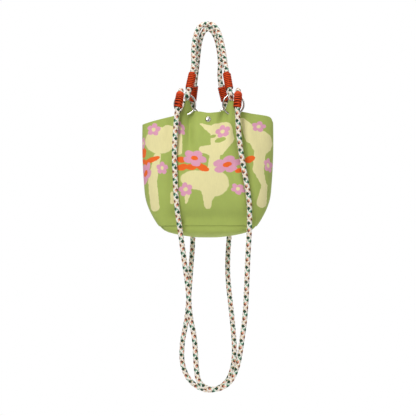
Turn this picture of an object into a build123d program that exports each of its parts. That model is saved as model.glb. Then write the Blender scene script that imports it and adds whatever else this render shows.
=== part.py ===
"""Cloth picking bag with a boxed base, hung by two rope handles, with two long rope straps.

Millimetres. +X runs along the mouth, -Y faces the front, +Z is up. The origin is the hang point:
the underside of the rear handle where both handles rest on one hook.
"""

import math
import os

from build123d import *

# Rope, whipping and rings
rope_d = 8.6
wrap_thickness = 1.9
whipping_length = 28.0
ring_wire_d = 3.0
ring_radius = 17.5
fit_gap = 0.1

# Places of the four rings: (height, half spacing) on each face, round one middle line
ring_middle_x = 1.2
front_ring_z = -125.0
rear_ring_z = -142.0
front_ring_half_spacing = 40.8
rear_ring_half_spacing = 35.0
ring_y = 24.0

# How far along its ring each rope eye sits, from the top of the ring
handle_eye_inward = 5.2
front_strap_eye_outward = 7.6
rear_strap_eye_outward = 8.2

# Cloth: height, half width, half depth at the side seam, half depth in the middle
bag_middle_x = -1.0
cloth_thickness = 1.2
lining_thickness = 0.8
bag_levels = [
    (-349.0, 26.0, 8.0, 14.0),
    (-345.5, 47.0, 16.0, 26.0),
    (-340.5, 64.0, 24.0, 34.0),
    (-330.0, 79.5, 26.0, 40.0),
    (-300.0, 95.5, 12.0, 48.0),
    (-260.0, 106.0, 6.0, 50.0),
    (-200.0, 108.0, 4.0, 42.0),
    (-136.0, 106.5, 3.0, 25.5),
]
side_bow = 3.0
base_seam_z = -329.0
base_seam_height = 3.0
side_seam_width = 2.4
side_seam_inner_x = 60.0
lining_top_z = -186.0
front_rim = [(-112, -158), (-58, -147), (-30, -147), (-20, -141), (22, -141), (32, -147), (52, -147),
             (62, -142), (99, -145), (111, -152)]
rear_rim = [(-112, -158), (-58, -164), (-18, -164), (-8, -160), (11, -160), (20, -164), (56, -164),
            (111, -152)]
reach = 200.0

# Pulled-up peaks of cloth inside the rings, each with a stitched eyelet
peak_thickness = 2.0
peak_foot_width = 24.0
peak_waist_width = 16.6
peak_tip_width = 6.0
peak_inward = 3.6
peak_twist = 45.0
peak_foot_drop = 17.0
peak_tip_rise = 21.1
eyelet_outer_d = 13.0
eyelet_hole_d = 9.0
eyelet_length = 3.4

# Snap in the middle of the mouth
snap_x = -0.5
front_snap_z = -150.0
rear_snap_z = -171.0
snap_cap_d = 9.5
snap_cap_height = 2.6
snap_dome_share = 0.92
snap_shank_d = 3.2
snap_inner_d = 9.0
snap_inner_height = 1.8
snap_socket_bore_d = 4.4
snap_stud_d = 3.8
snap_stud_height = 1.6

# Whippings round the two legs of a rope eye
leg_half_spacing = 5.3
whipping_half_width = rope_d / 2 + wrap_thickness
eye_to_whipping = 9.0
tail_beyond_whipping = 1.6
bore_d = rope_d + 0.6
straight_beyond = 13.0
strap_near_leg = 8.4
strap_whipping_crown = -4.4
strap_whipping_foot = 23.4
strap_whipping_slant = 24.0
eye_half_width = 7.4
eye_depth = 7.1
leg_drift = 0.2

# Turns of a strap's eye round the wire, (away from the bag, down), and its standing leg below them
strap_eye_turns = [(strap_near_leg, 9.8), (-7.5, 7.6), (-7.5, -7.3), (5.0, -7.7)]
strap_leg_shoulder = 4.0
strap_leg_below = 6.0

# Leans of the rope ends, by the signs of side and face, as a run across for each unit along
handle_lean_in = {(-1, -1): 0.22, (1, -1): 0.17, (-1, 1): 0.13, (1, 1): 0.26}
handle_lean_to_middle = 0.19
strap_lean_out = {(-1, -1): 0.17, (1, -1): -0.06, (-1, 1): 0.0, (1, 1): 0.03}

rope_radius_share = 0.45

# Routes of the handles between their whippings, left to right
front_handle_route = [
    (-25.5, -13.5, -36.0), (-22.0, -6.5, -7.0), (-15.0, -2.5, 9.5), (-4.5, -1.0, 13.5),
    (5.5, -1.2, 13.5), (15.0, -3.5, 5.0), (21.5, -8.5, -15.0), (26.0, -14.0, -40.0),
]
rear_handle_route = [
    (-20.0, 13.5, -52.0), (-14.0, 6.5, -17.0), (-5.0, 1.6, 4.3), (4.8, 1.6, 4.3),
    (12.5, 6.0, -13.0), (18.5, 13.0, -49.0),
]

# Routes of the hanging straps between their whippings, left to right
front_strap_route = [
    (-54.5, -44.5, -168.0), (-57.0, -46.5, -207.0), (-55.0, -48.5, -251.0), (-53.0, -49.0, -295.0),
    (-45.7, -48.0, -344.0), (-39.3, -46.5, -393.0), (-33.0, -45.0, -437.0), (-31.5, -44.0, -476.0),
    (-22.7, -43.0, -515.0), (-20.8, -42.5, -560.0), (-17.0, -42.0, -592.0), (7.0, -42.0, -604.0),
    (35.0, -42.0, -593.0), (49.0, -42.5, -564.0), (55.5, -43.0, -522.0), (61.5, -44.0, -476.0),
    (63.7, -45.0, -427.0), (65.5, -46.5, -378.0), (68.5, -48.0, -329.0), (68.0, -49.0, -285.0),
    (60.0, -48.5, -241.0), (51.5, -46.5, -193.0),
]
rear_strap_route = [
    (-43.5, 46.5, -186.0), (-42.0, 50.5, -222.0), (-35.0, 54.0, -262.0), (-28.5, 54.5, -306.0),
    (-26.5, 53.0, -352.0), (-30.5, 51.0, -403.0), (-33.7, 49.0, -449.0), (-37.0, 47.5, -492.0),
    (-46.5, 46.0, -535.0), (-46.0, 45.0, -575.0), (-29.0, 44.5, -606.0), (4.0, 44.5, -619.0),
    (31.0, 44.5, -605.0), (42.5, 45.0, -580.0), (46.0, 46.0, -549.0), (43.0, 47.5, -507.0),
    (37.7, 49.0, -459.0), (33.0, 51.0, -413.0), (34.5, 52.5, -367.0), (39.0, 54.0, -321.0),
    (44.0, 54.0, -275.0), (46.5, 51.0, -230.0), (47.0, 46.5, -190.0),
]

sides = {"left": -1, "right": 1}
faces = {"front": -1, "rear": 1}


def save(piece, name):
    """Labels a finished piece and writes it as its own file."""
    piece.label = name
    export_step(piece, f"parts/{name}.step")


# ---------------------------------------------------------------- cloth

def bag_size_at(height):
    """Half width, half depth at the seam and half depth in the middle, at a height."""
    for below, above in zip(bag_levels, bag_levels[1:]):
        if height <= above[0]:
            share = (height - below[0]) / (above[0] - below[0])
            return [low + share * (high - low) for low, high in zip(below[1:], above[1:])]
    return list(bag_levels[-1][1:])


def cloth_half_depth(x, height):
    """Distance of the outer face of the cloth from the bag's middle plane."""
    half_width, side_depth, middle_depth = bag_size_at(height)
    bow = middle_depth - side_depth
    bow_radius = (half_width**2 + bow**2) / (2 * bow)
    return middle_depth - bow_radius + math.sqrt(bow_radius**2 - (x - bag_middle_x) ** 2)


def bag_solid(inset):
    """The whole bag as one closed solid, its sides taken in by inset."""
    with BuildPart() as body:
        for height, half_width, side_depth, middle_depth in bag_levels:
            wide = half_width - inset
            shallow = side_depth - inset
            deep = middle_depth - inset
            bow = side_bow - inset / 2
            lift = inset if height < base_seam_z - base_seam_height else 0.0
            with BuildSketch(Plane.XY.offset(height + lift)):
                with BuildLine():
                    ThreePointArc((bag_middle_x - wide, -shallow), (bag_middle_x, -deep),
                                  (bag_middle_x + wide, -shallow))
                    ThreePointArc((bag_middle_x + wide, -shallow), (bag_middle_x + wide + bow, 0),
                                  (bag_middle_x + wide, shallow))
                    ThreePointArc((bag_middle_x + wide, shallow), (bag_middle_x, deep),
                                  (bag_middle_x - wide, shallow))
                    ThreePointArc((bag_middle_x - wide, shallow), (bag_middle_x - wide - bow, 0),
                                  (bag_middle_x - wide, -shallow))
                make_face()
        loft(ruled=True)
    return body.part


def layer(outer_inset, inner_inset):
    """One layer of the bag's wall between two insets."""
    inner = bag_solid(inner_inset)
    with BuildPart() as wall:
        add(bag_solid(outer_inset))
        add(inner, mode=Mode.SUBTRACT)
    return wall.part


def kept_within(wall, low, high):
    """The stretch of a wall inside a box given by its lowest and highest corners."""
    size = [top - bottom for bottom, top in zip(low, high)]
    middle = [(top + bottom) / 2 for bottom, top in zip(low, high)]
    with BuildPart() as stretch:
        add(wall)
        with Locations(tuple(middle)):
            Box(*size, mode=Mode.INTERSECT)
    return stretch.part


def ring_place(side, face):
    """Middle of a ring, by the sign of its side and of its face."""
    if face < 0:
        return (ring_middle_x + side * front_ring_half_spacing, -ring_y, front_ring_z)
    return (ring_middle_x + side * rear_ring_half_spacing, ring_y, rear_ring_z)


def eyelet_plane(side, face):
    """Plane of an eyelet: its middle on the ring's wire, square to the twisted peak."""
    x, y, z = ring_place(side, face)
    drop = math.sqrt(ring_radius**2 - peak_inward**2)
    twist = math.radians(peak_twist * side * face)
    return Plane(
        origin=(x - side * peak_inward, y, z - drop),
        x_dir=(math.cos(twist), math.sin(twist), 0),
        z_dir=(math.sin(twist), -math.cos(twist), 0),
    )


def peak(side, face):
    """Tapered peak of doubled cloth, flat on the panel at its foot and twisted above it."""
    eyelet = eyelet_plane(side, face)
    foot_z = eyelet.origin.Z - peak_foot_drop
    foot_y = face * (cloth_half_depth(eyelet.origin.X, foot_z) - peak_thickness / 2)
    foot = Plane(origin=(eyelet.origin.X, foot_y, foot_z), x_dir=(1, 0, 0), z_dir=(0, 0, 1))
    waist = Plane(origin=eyelet.origin, x_dir=eyelet.x_dir, z_dir=(0, 0, 1))
    tip = waist.offset(peak_tip_rise)
    with BuildPart() as blade:
        with BuildSketch(foot):
            Rectangle(peak_foot_width, peak_thickness)
        with BuildSketch(waist):
            Rectangle(peak_waist_width, peak_thickness)
        with BuildSketch(tip):
            Rectangle(peak_tip_width, peak_thickness)
        loft(ruled=True)
    return blade.part


def eyelet_core(side, face, diameter):
    """Cylinder through a peak, square to it."""
    with BuildPart() as core:
        with BuildSketch(eyelet_plane(side, face)):
            Circle(diameter / 2)
        extrude(amount=eyelet_length / 2, both=True)
    return core.part


def eyelet(side, face):
    """Thread-bound rim of a hole in a peak."""
    with BuildPart() as rim:
        add(eyelet_core(side, face, eyelet_outer_d))
        add(eyelet_core(side, face, eyelet_hole_d), mode=Mode.SUBTRACT)
    return rim.part


def panel(wall, face, rim):
    """Front or rear panel: its half of the wall, cut to its rim, with both its peaks."""
    seam_top = base_seam_z + base_seam_height / 2
    near, far = face * side_seam_width / 2, face * reach
    half = kept_within(wall, (-reach, min(near, far), seam_top), (reach, max(near, far), 0))
    peaks = [peak(side, face) for side in sides.values()]
    cores = [eyelet_core(side, face, eyelet_outer_d) for side in sides.values()]
    shank = snap_core(face, snap_shank_d)
    with BuildPart() as cloth:
        add(half)
        with BuildSketch(Plane.XZ):
            with BuildLine():
                Polyline((-reach, -reach * 2), (-reach, rim[0][1]), *rim, (reach, rim[-1][1]),
                         (reach, -reach * 2), close=True)
            make_face()
        extrude(amount=reach, both=True, mode=Mode.INTERSECT)
        for blade in peaks:
            add(blade)
        for core in cores:
            add(core, mode=Mode.SUBTRACT)
        add(shank, mode=Mode.SUBTRACT)
    return cloth.part


def side_seam(wall, side, top):
    """Upright seam that joins the two panels at one side."""
    edge, outside = side * side_seam_inner_x, side * reach
    seam_top = base_seam_z + base_seam_height / 2
    return kept_within(wall, (min(edge, outside), -side_seam_width / 2, seam_top),
                       (max(edge, outside), side_seam_width / 2, top))


# ---------------------------------------------------------------- snap

def snap_seat(face):
    """Plane on the outer face of the cloth at the snap, facing out along the cloth's normal."""
    height = front_snap_z if face < 0 else rear_snap_z
    step = 5.0
    run = cloth_half_depth(snap_x, height - step) - cloth_half_depth(snap_x, height + step)
    slope = math.atan2(run, 2 * step)
    origin = (snap_x, face * cloth_half_depth(snap_x, height), height)
    return Plane(origin=origin, x_dir=(1, 0, 0), z_dir=(0, face * math.cos(slope), math.sin(slope)))


def snap_core(face, diameter):
    """Cylinder through the cloth at the snap."""
    with BuildPart() as core:
        with BuildSketch(snap_seat(face)):
            Circle(diameter / 2)
        extrude(amount=2 * cloth_thickness, both=True)
    return core.part


def snap_cap(face):
    """Domed cap outside the cloth, with the shank that passes through it."""
    seat = snap_seat(face).offset(fit_gap)
    with BuildPart() as cap:
        with BuildSketch(seat):
            Circle(snap_cap_d / 2)
        extrude(amount=snap_cap_height)
        dome = cap.faces().sort_by(Axis(seat.origin, seat.z_dir))[-1]
        fillet(dome.edges(), snap_cap_height * snap_dome_share)
        with BuildSketch(seat):
            Circle(snap_shank_d / 2)
        extrude(amount=-(cloth_thickness + fit_gap))
    return cap.part


def snap_inner(face):
    """Socket on the front cloth or stud on the rear cloth, inside the mouth."""
    seat = snap_seat(face).offset(-cloth_thickness - fit_gap)
    with BuildPart() as inner:
        with BuildSketch(seat):
            Circle(snap_inner_d / 2)
        extrude(amount=-snap_inner_height)
        if face < 0:
            with BuildSketch(seat.offset(-snap_inner_height)):
                Circle(snap_socket_bore_d / 2)
            extrude(amount=snap_inner_height / 2, mode=Mode.SUBTRACT)
        else:
            with BuildSketch(seat.offset(-snap_inner_height)):
                Circle(snap_stud_d / 2)
            extrude(amount=-snap_stud_height)
    return inner.part


# ---------------------------------------------------------------- rings

def ring(side, face):
    """Round wire ring in an upright plane."""
    with BuildPart() as hoop:
        with Locations(Location(ring_place(side, face), (90, 0, 0))):
            Torus(ring_radius, ring_wire_d / 2)
    return hoop.part


# ---------------------------------------------------------------- ropes

def wire_point(side, face, outward):
    """Point on a ring's wire, near its top, a distance outward from the ring's middle."""
    x, y, z = ring_place(side, face)
    return Vector(x + side * outward, y, z + math.sqrt(ring_radius**2 - outward**2))


def handle_frame(side, face):
    """Origin on the wire, direction up the handle, and direction away from the bag."""
    up = Vector(-side * handle_lean_in[side, face], -face * handle_lean_to_middle, 1).normalized()
    out = (Vector(0, face, 0) - up * (face * up.Y)).normalized()
    return wire_point(side, face, -handle_eye_inward), up, out


def strap_frame(side, face):
    """Origin on the wire, direction down the strap, and direction away from the bag."""
    outward = front_strap_eye_outward if face < 0 else rear_strap_eye_outward
    down = Vector(side * strap_lean_out[side, face], 0, -1).normalized()
    return wire_point(side, face, outward), down, Vector(0, face, 0)


def handle_eye(side, face):
    """Points of a handle's end: tail, turn under the wire, and the standing leg up."""
    wire, up, out = handle_frame(side, face)
    top = eye_to_whipping + whipping_length
    leg = leg_half_spacing
    turns = [(-leg, top + tail_beyond_whipping), (-leg, eye_to_whipping)]
    turns += [(-eye_half_width, -eye_depth), (eye_half_width, -eye_depth)]
    turns += [(leg, eye_to_whipping), (leg + leg_drift, top + straight_beyond)]
    return [wire + out * across + up * along for across, along in turns]


def strap_eye(side, face):
    """Points of a strap's end: tail, turn over the wire, and the standing leg down."""
    wire, down, out = strap_frame(side, face)
    far = strap_near_leg + 2 * leg_half_spacing
    tail = (strap_near_leg, strap_whipping_foot + tail_beyond_whipping)
    leg = [(far, strap_leg_shoulder), (far - leg_drift, strap_whipping_foot + strap_leg_below)]
    turns = [tail] + strap_eye_turns + leg
    return [wire + out * across + down * along for across, along in turns]


def corner_radii(points):
    """Largest arc that the two runs at each corner leave room for."""
    radii = []
    for before, corner, after in zip(points, points[1:], points[2:]):
        run_in, run_out = corner - before, after - corner
        turn = math.radians(run_in.get_angle(run_out))
        radii.append(rope_radius_share * min(run_in.length, run_out.length) / math.tan(turn / 2))
    return radii


def rope(points, name):
    """Round rope along straight runs joined by tangent arcs."""
    radii = corner_radii(points)
    with BuildPart() as body:
        with BuildLine() as route:
            FilletPolyline(*points, radius=radii)
        course = route.wire()
        with BuildSketch(Plane(origin=course @ 0, z_dir=course % 0)):
            Circle(rope_d / 2)
        sweep(path=course)
    share = body.part.volume / (math.pi * rope_d**2 / 4 * course.length)
    print(name, "length", round(course.length, 1), "volume ratio", round(share, 4))
    print("  arc radii", [round(radius, 1) for radius in radii])
    return body.part


def whole_route(end_points, middle, face):
    """A rope's whole list of points: left end, the free middle, right end."""
    left = end_points(-1, face)
    right = end_points(1, face)
    return left + [Vector(*point) for point in middle] + right[::-1]


def handle_whipping(side, face):
    """Wound binding round both legs of a handle's eye."""
    wire, up, out = handle_frame(side, face)
    foot = Plane(origin=wire + up * eye_to_whipping, x_dir=out, z_dir=up)
    half_depth = leg_half_spacing + whipping_half_width
    with BuildPart() as binding:
        with BuildSketch(foot):
            SlotOverall(2 * half_depth, 2 * whipping_half_width)
            SlotOverall(2 * leg_half_spacing + bore_d, bore_d, mode=Mode.SUBTRACT)
        extrude(amount=whipping_length)
    return binding.part


def strap_whipping(side, face):
    """Wound binding in front of a ring, its top slanted where the rope comes over the wire."""
    wire, down, out = strap_frame(side, face)
    middle = strap_near_leg + leg_half_spacing
    half_depth = leg_half_spacing + whipping_half_width
    crown = Plane(origin=wire + out * middle + down * strap_whipping_crown, x_dir=out, z_dir=down)
    with BuildPart() as binding:
        with BuildSketch(crown):
            SlotOverall(2 * half_depth, 2 * whipping_half_width)
            SlotOverall(2 * leg_half_spacing + bore_d, bore_d, mode=Mode.SUBTRACT)
        extrude(amount=strap_whipping_foot - strap_whipping_crown)
        with BuildSketch(Plane(origin=crown.origin, x_dir=out, z_dir=out.cross(down))):
            with BuildLine():
                Polyline((-half_depth - 1, -1), (half_depth + 1, -1), (half_depth, 0),
                         (-half_depth, strap_whipping_slant), (-half_depth - 1, strap_whipping_slant),
                         close=True)
            make_face()
        extrude(amount=2 * whipping_half_width, both=True, mode=Mode.SUBTRACT)
    return binding.part


# ---------------------------------------------------------------- build

os.makedirs("parts", exist_ok=True)

outer_cloth = layer(0.0, cloth_thickness)
base_edge = base_seam_z - base_seam_height / 2
seam_edge = base_seam_z + base_seam_height / 2
save(panel(outer_cloth, -1, front_rim), "front_panel")
save(panel(outer_cloth, 1, rear_rim), "rear_panel")
save(kept_within(outer_cloth, (-reach, -reach, -2 * reach), (reach, reach, base_edge)), "base_panel")
save(kept_within(outer_cloth, (-reach, -reach, base_edge), (reach, reach, seam_edge)), "base_seam")
save(side_seam(outer_cloth, -1, front_rim[0][1]), "left_side_seam")
save(side_seam(outer_cloth, 1, front_rim[-1][1]), "right_side_seam")

inner_cloth = layer(cloth_thickness + fit_gap, cloth_thickness + fit_gap + lining_thickness)
save(kept_within(inner_cloth, (-reach, -reach, -2 * reach), (reach, reach, lining_top_z)), "lining")

save(snap_cap(-1), "snap_front_cap")
save(snap_inner(-1), "snap_socket")
save(snap_inner(1), "snap_stud")
save(snap_cap(1), "snap_rear_cap")

for face_name, face_sign in faces.items():
    for side_name, side_sign in sides.items():
        place = f"{face_name}_{side_name}"
        save(eyelet(side_sign, face_sign), f"{place}_eyelet")
        save(ring(side_sign, face_sign), f"{place}_ring")
        save(handle_whipping(side_sign, face_sign), f"{place}_handle_whipping")
        save(strap_whipping(side_sign, face_sign), f"{place}_strap_whipping")

save(rope(whole_route(handle_eye, front_handle_route, -1), "front_handle_rope"), "front_handle_rope")
save(rope(whole_route(handle_eye, rear_handle_route, 1), "rear_handle_rope"), "rear_handle_rope")
save(rope(whole_route(strap_eye, front_strap_route, -1), "front_strap_rope"), "front_strap_rope")
save(rope(whole_route(strap_eye, rear_strap_route, 1), "rear_strap_rope"), "rear_strap_rope")
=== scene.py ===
"""Looks of a cloth picking bag hung by two rope handles, with two long rope straps."""

import math

import bmesh
import bpy
import numpy as np
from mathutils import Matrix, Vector, noise


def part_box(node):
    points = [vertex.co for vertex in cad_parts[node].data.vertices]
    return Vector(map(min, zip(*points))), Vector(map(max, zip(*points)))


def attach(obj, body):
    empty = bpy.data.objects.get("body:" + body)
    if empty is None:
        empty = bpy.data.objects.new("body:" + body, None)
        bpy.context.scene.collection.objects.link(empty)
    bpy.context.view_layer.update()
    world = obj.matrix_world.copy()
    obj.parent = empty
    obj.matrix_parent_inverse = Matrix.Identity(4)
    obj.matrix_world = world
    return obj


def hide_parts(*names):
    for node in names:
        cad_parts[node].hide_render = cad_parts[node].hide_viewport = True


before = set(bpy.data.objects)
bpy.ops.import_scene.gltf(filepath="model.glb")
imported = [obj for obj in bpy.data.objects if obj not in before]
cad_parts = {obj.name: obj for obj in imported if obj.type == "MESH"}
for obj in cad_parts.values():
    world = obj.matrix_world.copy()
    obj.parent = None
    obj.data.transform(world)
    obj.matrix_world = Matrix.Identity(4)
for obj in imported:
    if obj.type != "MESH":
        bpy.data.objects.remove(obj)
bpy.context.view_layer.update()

# Driving dimensions, in metres; a lean is the way sideways for each metre along
ROPE_STEP = 0.001
WRAP_D = 0.0019
WHIPPING_LENGTH = 0.028
RING_RADIUS = 0.0175
RING_WIRE = 0.0015
LEG_HALF_SPACING = 0.0053
EYE_TO_WHIPPING = 0.009
TAIL_BEYOND = 0.0016
STRAIGHT_BEYOND = 0.013
EYE_HALF_WIDTH = 0.0074
EYE_DEPTH = 0.0071
LEG_DRIFT = 0.0002
STRAP_NEAR_LEG = 0.0084
STRAP_FOOT = 0.0234
STRAP_EYE_TURNS = [(STRAP_NEAR_LEG, 0.0098), (-0.0075, 0.0076), (-0.0075, -0.0073), (0.005, -0.0077)]
STRAP_LEG_SHOULDER = 0.004
STRAP_LEG_BELOW = 0.006
HANDLE_EYE_INWARD = 0.0052
STRAP_EYE_OUTWARD = {-1: 0.0076, 1: 0.0082}
HANDLE_LEAN_IN = {(-1, -1): 0.22, (1, -1): 0.17, (-1, 1): 0.13, (1, 1): 0.26}
HANDLE_LEAN_TO_MIDDLE = 0.19
STRAP_LEAN_OUT = {(-1, -1): 0.17, (1, -1): -0.06, (-1, 1): 0.0, (1, 1): 0.03}

SIDE_NAMES = {-1: "left", 1: "right"}
FACE_NAMES = {-1: "front", 1: "rear"}

# Routes of the ropes between their whippings, left to right
FRONT_HANDLE_ROUTE = [
    (-0.0255, -0.0135, -0.036), (-0.022, -0.0065, -0.007), (-0.015, -0.0025, 0.0095),
    (-0.0045, -0.001, 0.0135), (0.0055, -0.0012, 0.0135), (0.015, -0.0035, 0.005),
    (0.0215, -0.0085, -0.015), (0.026, -0.014, -0.04),
]
REAR_HANDLE_ROUTE = [
    (-0.0190, 0.0135, -0.052), (-0.0155, 0.0068, -0.0145), (-0.0065, 0.0016, 0.0056),
    (0.0055, 0.0016, 0.0052), (0.0155, 0.006, -0.013), (0.0212, 0.013, -0.049),
]
FRONT_STRAP_ROUTE = [
    (-0.0545, -0.0445, -0.168), (-0.057, -0.0465, -0.207), (-0.055, -0.0485, -0.251),
    (-0.053, -0.049, -0.295), (-0.0457, -0.048, -0.344), (-0.0393, -0.0465, -0.393),
    (-0.033, -0.045, -0.437), (-0.0315, -0.044, -0.476), (-0.0227, -0.043, -0.515),
    (-0.0208, -0.0425, -0.56), (-0.017, -0.042, -0.592), (0.007, -0.042, -0.604),
    (0.035, -0.042, -0.593), (0.049, -0.0425, -0.564), (0.0555, -0.043, -0.522),
    (0.0615, -0.044, -0.476), (0.0637, -0.045, -0.427), (0.0655, -0.0465, -0.378),
    (0.0685, -0.048, -0.329), (0.068, -0.049, -0.285), (0.06, -0.0485, -0.241),
    (0.0515, -0.0465, -0.193),
]
REAR_STRAP_ROUTE = [
    (-0.0435, 0.0465, -0.186), (-0.042, 0.0505, -0.222), (-0.035, 0.054, -0.262),
    (-0.0285, 0.0545, -0.306), (-0.0265, 0.053, -0.352), (-0.0305, 0.051, -0.403),
    (-0.0337, 0.049, -0.449), (-0.037, 0.0475, -0.492), (-0.0465, 0.046, -0.535),
    (-0.046, 0.045, -0.575), (-0.029, 0.0445, -0.606), (0.004, 0.0445, -0.619),
    (0.031, 0.0445, -0.605), (0.0425, 0.045, -0.58), (0.046, 0.046, -0.549),
    (0.043, 0.0475, -0.507), (0.0377, 0.049, -0.459), (0.033, 0.051, -0.413),
    (0.0345, 0.0525, -0.367), (0.039, 0.054, -0.321), (0.044, 0.054, -0.275),
    (0.0465, 0.051, -0.23), (0.047, 0.0465, -0.19),
]


# ---- camera

def make_camera():
    """Level camera straight in front of the bag."""
    data = bpy.data.cameras.new("camera")
    data.sensor_width = 36.0
    data.lens = 101.8
    data.clip_end = 30.0
    camera = bpy.data.objects.new("camera", data)
    camera.location = (-0.0007, -2.0, -0.2992)
    camera.rotation_euler = (math.radians(90), 0, 0)
    bpy.context.scene.collection.objects.link(camera)
    bpy.context.scene.camera = camera


# ---- node helpers

class Nodes:
    """A material's node tree, with short calls for the nodes used here."""

    def __init__(self, tree):
        self.tree = tree

    def add(self, kind, inputs=(), **settings):
        """A node of a kind, with its settings and inputs."""
        node = self.tree.nodes.new(kind)
        for name, value in settings.items():
            setattr(node, name, value)
        self.fill(node, inputs)
        return node

    def fill(self, node, inputs):
        """Links a node's inputs to sockets, or sets them to constants."""
        for key, value in dict(inputs).items():
            if isinstance(value, bpy.types.NodeSocket):
                self.tree.links.new(value, node.inputs[key])
            else:
                node.inputs[key].default_value = value

    def math(self, operation, *values, clamp=False):
        """Result of one math operation."""
        return self.add("ShaderNodeMath", enumerate(values), operation=operation, use_clamp=clamp).outputs[0]

    def dot(self, a, b, c, d):
        """Sum of a times b and c times d."""
        return self.math("ADD", self.math("MULTIPLY", a, b), self.math("MULTIPLY", c, d))

    def mix(self, factor, first, second, blend="MIX"):
        """Colour between two colours."""
        inputs = {0: factor, 6: first, 7: second}
        return self.add("ShaderNodeMix", inputs, data_type="RGBA", blend_type=blend).outputs[2]

    def ramp(self, value, low, high, to_low=0.0, to_high=1.0):
        """Smooth step of a value from low to high."""
        inputs = enumerate((value, low, high, to_low, to_high))
        return self.add("ShaderNodeMapRange", inputs, interpolation_type="SMOOTHSTEP").outputs[0]

    def noise(self, vector, scale, detail=2.0, roughness=0.5):
        """Noise value at a scale."""
        inputs = {"Vector": vector, "Scale": scale, "Detail": detail, "Roughness": roughness}
        return self.add("ShaderNodeTexNoise", inputs).outputs[0]

    def fibres(self, vector, scale, detail=3.0, roughness=0.6):
        """Noise stretched by a scale along each axis."""
        stretched = self.add("ShaderNodeMapping", {"Vector": vector, "Scale": scale}).outputs[0]
        return self.noise(stretched, 1.0, detail, roughness)

    def wave(self, value, pitch=1.0):
        """Value from 0 to 1 that repeats each pitch."""
        turn = self.math("MULTIPLY", value, 2 * math.pi / pitch)
        return self.math("MULTIPLY_ADD", self.math("SINE", turn), 0.5, 0.5)

    def bump(self, height, strength, distance):
        """Normal bent by a height."""
        inputs = {"Height": height, "Strength": strength, "Distance": distance}
        return self.add("ShaderNodeBump", inputs).outputs[0]

    def uv_parts(self):
        """Texture coordinates, and their two parts."""
        uv = self.add("ShaderNodeUVMap").outputs[0]
        parts = self.add("ShaderNodeSeparateXYZ", {"Vector": uv}).outputs
        return uv, parts[0], parts[1]


def linear(red, green, blue):
    """Scene colour of an 8-bit display colour."""
    parts = [value / 255 for value in (red, green, blue)]
    curved = [part / 12.92 if part < 0.04045 else ((part + 0.055) / 1.055) ** 2.4 for part in parts]
    return (*curved, 1.0)


def new_material(name):
    """An empty material, its nodes and its shader."""
    material = bpy.data.materials.new(name)
    material.use_nodes = True
    nodes = Nodes(material.node_tree)
    return material, nodes, material.node_tree.nodes["Principled BSDF"]


# ---- meshes

def link_mesh(name, vertices, polygons, materials, uvs=None, material_indices=None):
    """A smooth mesh object; uvs holds one (u, v) per vertex of each polygon, in order."""
    mesh = bpy.data.meshes.new(name)
    mesh.from_pydata([tuple(vertex) for vertex in vertices], [], [list(face) for face in polygons])
    for material in materials:
        mesh.materials.append(material)
    if material_indices is not None:
        mesh.polygons.foreach_set("material_index", np.asarray(material_indices, np.int32))
    if uvs is not None:
        layer = mesh.uv_layers.new(name="UVMap")
        layer.data.foreach_set("uv", np.asarray(uvs, np.float32).ravel())
    mesh.polygons.foreach_set("use_smooth", np.ones(len(polygons), bool))
    mesh.update()
    piece = bpy.data.objects.new(name, mesh)
    bpy.context.scene.collection.objects.link(piece)
    return piece


class Builder:
    """Vertices, faces, texture coordinates and material indices gathered for one mesh."""

    def __init__(self):
        self.vertices = []
        self.faces = []
        self.uvs = []
        self.indices = []

    def grid(self, rows, closed_across=False, closed_along=False, index=0, uv=None, flip=False):
        """A grid of points, row after row, joined by four-sided faces."""
        rows = np.asarray(rows, float)
        count, width = rows.shape[:2]
        start = len(self.vertices)
        self.vertices.extend(rows.reshape(-1, 3))
        last_row = count if closed_along else count - 1
        last_column = width if closed_across else width - 1
        for i in range(last_row):
            for j in range(last_column):
                near = ((i, j), (i, j + 1), (i + 1, j + 1), (i + 1, j))
                near = near[::-1] if flip else near
                self.faces.append([start + (r % count) * width + c % width for r, c in near])
                self.indices.append(index)
                self.uvs.extend(uv(r, c) if uv else (c / width, r / count) for r, c in near)

    def fan(self, ring, centre, index=0, flip=False, uv=(0.5, 0.5)):
        """Closes a loop of points with triangles to a centre."""
        start = len(self.vertices)
        self.vertices.extend(ring)
        self.vertices.append(centre)
        count = len(ring)
        for j in range(count):
            corners = [start + j, start + (j + 1) % count, start + count]
            self.faces.append(corners[::-1] if flip else corners)
            self.indices.append(index)
            self.uvs.extend([uv] * 3)

    def close_ends(self, rows, index=0):
        """Closes the first and the last loop of a grid."""
        self.fan(rows[0], np.mean(rows[0], axis=0), index=index, flip=True)
        self.fan(rows[-1], np.mean(rows[-1], axis=0), index=index)

    def cord(self, line, radius, sides):
        """A closed round tube along a line."""
        _, normals, binormals = frames_along(line)
        self.tube(line, normals, binormals, radius, radius, sides)

    def tube(self, line, across, other, radius_a, radius_b, sides, index=0, u_scale=1.0):
        """A closed tube of oval section along a line, with its end caps."""
        angles = np.arange(sides) * 2 * math.pi / sides
        wide = np.cos(angles)[None, :, None] * across[:, None, :] * radius_a
        thick = np.sin(angles)[None, :, None] * other[:, None, :] * radius_b
        rows = line[:, None, :] + wide + thick
        along = distances(line)
        self.grid(rows, closed_across=True, index=index, uv=lambda r, c: (c / sides * u_scale, along[r]))
        self.close_ends(rows, index)

    def make(self, name, materials):
        """The gathered mesh as a piece."""
        return link_mesh(name, self.vertices, self.faces, materials, self.uvs, self.indices)


def unit(rows):
    """Rows of vectors, each made one long."""
    return rows / np.linalg.norm(rows, axis=1)[:, None]


def distances(line):
    """Distance along a line to each of its points."""
    return np.concatenate([[0], np.cumsum(np.linalg.norm(np.diff(line, axis=0), axis=1))])


def read_at(places, along, rows):
    """Vectors read from rows at places along a line."""
    return np.stack([np.interp(places, along, rows[:, part]) for part in range(3)], axis=1)


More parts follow.
